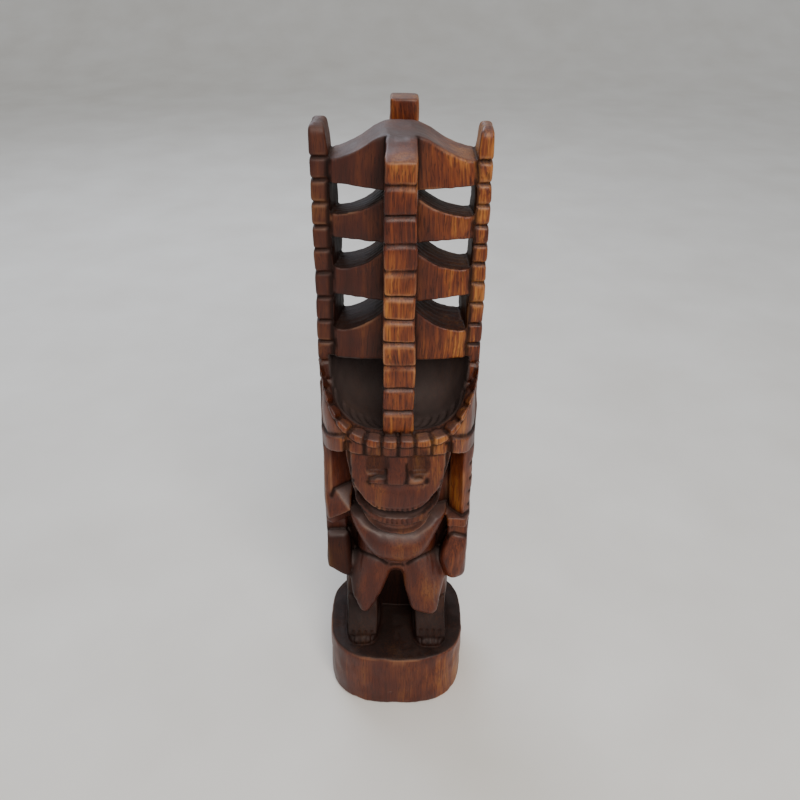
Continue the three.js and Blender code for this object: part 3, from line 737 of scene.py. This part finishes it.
def ramp(tree, factor, stops):
    """A colour ramp from a list of place and hex colour."""
    node = add(tree, "ShaderNodeValToRGB", {"Fac": factor})
    while len(node.color_ramp.elements) < len(stops):
        node.color_ramp.elements.new(0.5)
    for element, (place, colour) in zip(node.color_ramp.elements, stops):
        element.position = place
        element.color = linear(colour)
    return node.outputs["Color"]


def times(tree, a, b):
    """The product of two values."""
    return add(tree, "ShaderNodeMath", {0: a, 1: b}, operation="MULTIPLY").outputs[0]


def blend(tree, *parts):
    """A weighted sum of values."""
    total = 0.0
    for value, weight in parts:
        share = times(tree, value, weight)
        total = add(tree, "ShaderNodeMath", {0: total, 1: share}, operation="ADD").outputs[0]
    return total


def mixed(tree, kind, factor, a, b):
    """Two colours mixed, b over a by the factor."""
    return add(tree, "ShaderNodeMix", {0: factor, 6: a, 7: b}, data_type="RGBA", blend_type=kind).outputs[2]


def between_values(tree, value, low, high, to_low=0.0, to_high=1.0):
    """A value led smoothly from one range to another."""
    ends = {"Value": value, "From Min": low, "From Max": high, "To Min": to_low, "To Max": to_high}
    return add(tree, "ShaderNodeMapRange", ends, interpolation_type="SMOOTHSTEP").outputs[0]


# %% [markdown]
# ## Varnished tropical hardwood
#
# The wood is a dark, coarse-pored tropical hardwood, sawn with the grain upright, stained red-brown
# and rubbed with a satin varnish. Its grain gives the eye three things: broad upright bands a
# centimetre or so wide, fine streaks about a millimetre wide and some centimetres long, and short
# dark pores. All of them are noise stretched along the grain. Paler sapwood runs up the block's right
# side and its front and back edges.

# %% Grain and raw wood
BAND_MM = 9.0
STREAK_MM = 1.15
PORE_MM = 0.6  # a real pore is about 0.2 mm wide, and is drawn wider so that it shows
PATCH_MM = 30.0
DRIFT_MM, WANDER_MM = 45, 7.0  # the grain strays by up to the second over about the first
WOOD_TONES = [(0.36, "#34140c"), (0.48, "#522210"), (0.56, "#703617"), (0.72, "#a86c2c")]
PORE_TONES = [(0.0, "#5a4038"), (1.0, "#ffffff")]


def wood_grain(tree):
    """The sockets of the grain's parts, each from 0 to 1, and of the place in millimetres."""
    place = add(tree, "ShaderNodeTexCoord").outputs["Object"]
    in_mm = add(tree, "ShaderNodeVectorMath", {0: place, "Scale": 1 / MM}, operation="SCALE").outputs[0]
    drift = add(tree, "ShaderNodeTexNoise", {"Vector": in_mm, "Scale": 1 / DRIFT_MM, "Detail": 1.0})
    wander = add(tree, "ShaderNodeVectorMath",
                 {0: drift.outputs["Color"], "Scale": WANDER_MM}, operation="SCALE")
    bent = add(tree, "ShaderNodeVectorMath", {0: in_mm, 1: wander.outputs[0]}, operation="ADD").outputs[0]

    def grain(width, stretch, detail, rough=0.5):
        """Noise of that width in mm across the grain, stretched along it."""
        squeeze = (1 / width, 1 / width, 1 / width / stretch)
        fine = add(tree, "ShaderNodeVectorMath", {0: bent, 1: squeeze}, operation="MULTIPLY").outputs[0]
        return add(tree, "ShaderNodeTexNoise",
                   {"Vector": fine, "Scale": 1.0, "Detail": detail, "Roughness": rough}).outputs["Fac"]

    patch = add(tree, "ShaderNodeTexNoise", {"Vector": in_mm, "Scale": 1 / PATCH_MM, "Detail": 2.0})
    return {"place": in_mm, "patch": patch.outputs["Fac"], "band": grain(BAND_MM, 16, 2.0),
            "streak": grain(STREAK_MM, 26, 2.0, 0.55),
            "pores": between_values(tree, grain(PORE_MM, 14, 1.0), 0.36, 0.43)}


def raw_wood(tree, parts):
    """The colour of the wood itself, from its grain and its sapwood."""
    sides = add(tree, "ShaderNodeSeparateXYZ", {0: parts["place"]}).outputs
    sap_right = between_values(tree, sides["X"], 2.0, 44.0)
    sap_front = between_values(tree, sides["Y"], -30.0, -38.5)
    sap_back = between_values(tree, sides["Y"], 22.0, 34.0)
    high_up = between_values(tree, sides["Z"], 215.0, 262.0, 0.35, 1.0)
    sapwood = times(tree, blend(tree, (sap_right, 0.55), (sap_front, 0.30), (sap_back, 0.45)), high_up)
    swing = blend(tree, (parts["streak"], 1.0), (1.0, -0.5))
    marked = times(tree, swing, blend(tree, (sapwood, 0.62), (1.0, 0.15)))
    tone = blend(tree, (parts["band"], 0.38), (parts["patch"], 0.40), (1.0, 0.11),
                 (marked, 1.0), (sapwood, 0.17))
    return mixed(tree, "MULTIPLY", 0.55, ramp(tree, tone, WOOD_TONES), ramp(tree, parts["pores"], PORE_TONES))


# %% [markdown]
# ## Coats over the wood
#
# The four attributes lay their colours over the raw wood: the red-brown glaze, the lighter wood of wear
# and painted highlights, the near-black of stain and painted shade, and the cool grey of the painted
# sheen. The varnish is satin, and duller and less bright where the painted shade and stain are thick.

# %% Coats and varnish
def varnished_hardwood():
    """The finished material."""
    material, tree = blank_material("varnished_tropical_hardwood")
    parts = wood_grain(tree)
    glaze, wear_and_highlight, painted_shade_and_stain, painted_sheen = [add(tree, "ShaderNodeAttribute", attribute_name=name).outputs["Fac"]
                                 for name in ("glaze", "wear_and_highlight", "painted_shade_and_stain", "painted_sheen")]
    patchy_wear_and_highlight = times(tree, wear_and_highlight, between_values(tree, parts["patch"], 0.42, 0.60))
    uneven = times(tree, painted_shade_and_stain, between_values(tree, parts["streak"], 0.25, 0.6, 1.0, 0.91))
    colour = raw_wood(tree, parts)
    # Over the raw wood: red-brown glaze, lighter wear and painted highlights, near-black stain and painted
    # shade, and a grey painted sheen.
    for share, strength, coat in ((glaze, 0.62, "#4a2018"), (patchy_wear_and_highlight, 0.42, "#a67652"),
                                  (uneven, 1.0, "#17110f"), (painted_sheen, 0.30, "#5d5250")):
        colour = mixed(tree, "MIX", times(tree, share, strength), colour, linear(coat))

    height = blend(tree, (parts["streak"], 0.5), (parts["pores"], 0.4))
    bump = add(tree, "ShaderNodeBump", {"Height": height, "Strength": 0.22, "Distance": 0.4 * MM})
    gloss = blend(tree, (between_values(tree, parts["patch"], 0.3, 0.7, 0.36, 0.46), 1.0), (painted_shade_and_stain, 0.22))
    shader = add(tree, "ShaderNodeBsdfPrincipled", {
        "Base Color": colour, "Roughness": gloss, "Normal": bump.outputs[0], "IOR": 1.5,
        "Specular IOR Level": between_values(tree, painted_shade_and_stain, 0.3, 1.0, 0.29, 0.08),
        "Coat Weight": 0.05, "Coat Roughness": 0.3})
    add(tree, "ShaderNodeOutputMaterial", {"Surface": shader.outputs[0]})
    return material


mesh.materials.clear()
mesh.materials.append(varnished_hardwood())
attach(tiki, "root")
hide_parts("tiki_carving")
print("wood finished")

# %% [markdown]
# ## Floor
#
# The studio's floor is a pale board that sweeps up behind the piece, so that no horizon shows.

# %% Floor
FLOOR_HALF = 3.0
SWEEP_HEIGHT, SWEEP_BEND = 2.4, 1.0


def painted_board():
    """A pale board with a faint mottle."""
    material, tree = blank_material("matt_painted_board")
    place = add(tree, "ShaderNodeTexCoord").outputs["Object"]
    mottle = add(tree, "ShaderNodeTexNoise", {"Vector": place, "Scale": 9.0, "Detail": 3.0}).outputs["Fac"]
    colour = ramp(tree, mottle, [(0.3, "#e6e3dd"), (0.7, "#efede8")])
    shader = add(tree, "ShaderNodeBsdfPrincipled", {"Base Color": colour, "Roughness": 0.75})
    add(tree, "ShaderNodeOutputMaterial", {"Surface": shader.outputs[0]})
    return material


sweep = bmesh.new()
bmesh.ops.create_grid(sweep, x_segments=1, y_segments=1, size=FLOOR_HALF)
back_edges = [e for e in sweep.edges if all(v.co.y > FLOOR_HALF * 0.99 for v in e.verts)]
raised = bmesh.ops.extrude_edge_only(sweep, edges=back_edges)["geom"]
raised_corners = [v for v in raised if isinstance(v, bmesh.types.BMVert)]
bmesh.ops.translate(sweep, vec=(0, 0, SWEEP_HEIGHT), verts=raised_corners)
bmesh.ops.bevel(sweep, geom=[e for e in sweep.edges if e in set(back_edges)], offset=SWEEP_BEND,
                segments=12, profile=0.5, affect="EDGES", material=-1)
floor_mesh = bpy.data.meshes.new("floor")
sweep.to_mesh(floor_mesh)
sweep.free()
floor = bpy.data.objects.new("floor", floor_mesh)
floor_mesh.shade_smooth()
bpy.context.scene.collection.objects.link(floor)
floor_mesh.materials.append(painted_board())
print("floor:", len(floor_mesh.polygons), "faces")

# %% [markdown]
# ## Light
#
# One large soft light stands high in front and a little to the right, as the window did. A weaker,
# cooler one stands behind on the left, and an even pale surrounding fills the shadows.

# %% Lights
SKY_STRENGTH = 0.52


def soft_light(name, place, aim, size, watts, colour):
    """A square area light at a place, turned towards an aim."""
    lamp = bpy.data.lights.new(name, "AREA")
    lamp.size = size
    lamp.energy = watts
    lamp.color = linear(colour)[:3]
    holder = bpy.data.objects.new(name, lamp)
    bpy.context.scene.collection.objects.link(holder)
    holder.location = place
    holder.rotation_euler = (Vector(aim) - Vector(place)).to_track_quat("-Z", "Y").to_euler()


soft_light("window_light", (0.22, -0.92, 1.06), (0, 0, 0.2), 0.7, 13.2, "#fff6ea")
soft_light("back_light", (-0.5, 0.9, 1.2), (0, 0, 0.25), 0.9, 10, "#e8f0ff")
world = bpy.data.worlds.new("studio")
bpy.context.scene.world = world
world.use_nodes = True
world.node_tree.nodes["Background"].inputs["Color"].default_value = linear("#eef1f5")
world.node_tree.nodes["Background"].inputs["Strength"].default_value = SKY_STRENGTH
print("two lights and a pale sky of", SKY_STRENGTH)

# %% [markdown]
# ## Camera
#
# The camera stands where the photographer stood: half a metre up and looking down by about 32
# degrees. Its roll is the photo's own, under one degree.

# %% Camera
SENSOR_MM = 36
FRAME_PX = 800
FOCAL_PX = 820
PITCH = math.radians(31.8)
ROLL = math.radians(-0.71)
EYE = Vector((0.75, -430.5, 494.7)) * MM

ahead = Vector((0, math.cos(PITCH), -math.sin(PITCH)))
right = Vector((1, 0, 0))
up = right.cross(ahead)
right, up = right * math.cos(ROLL) - up * math.sin(ROLL), right * math.sin(ROLL) + up * math.cos(ROLL)
lens = bpy.data.cameras.new("camera")
lens.sensor_width = SENSOR_MM
lens.lens = SENSOR_MM * FOCAL_PX / FRAME_PX
camera = bpy.data.objects.new("camera", lens)
bpy.context.scene.collection.objects.link(camera)
camera.matrix_world = Matrix.Translation(EYE) @ Matrix((right, up, -ahead)).transposed().to_4x4()
bpy.context.scene.camera = camera
print("camera with a lens of", lens.lens, "mm")
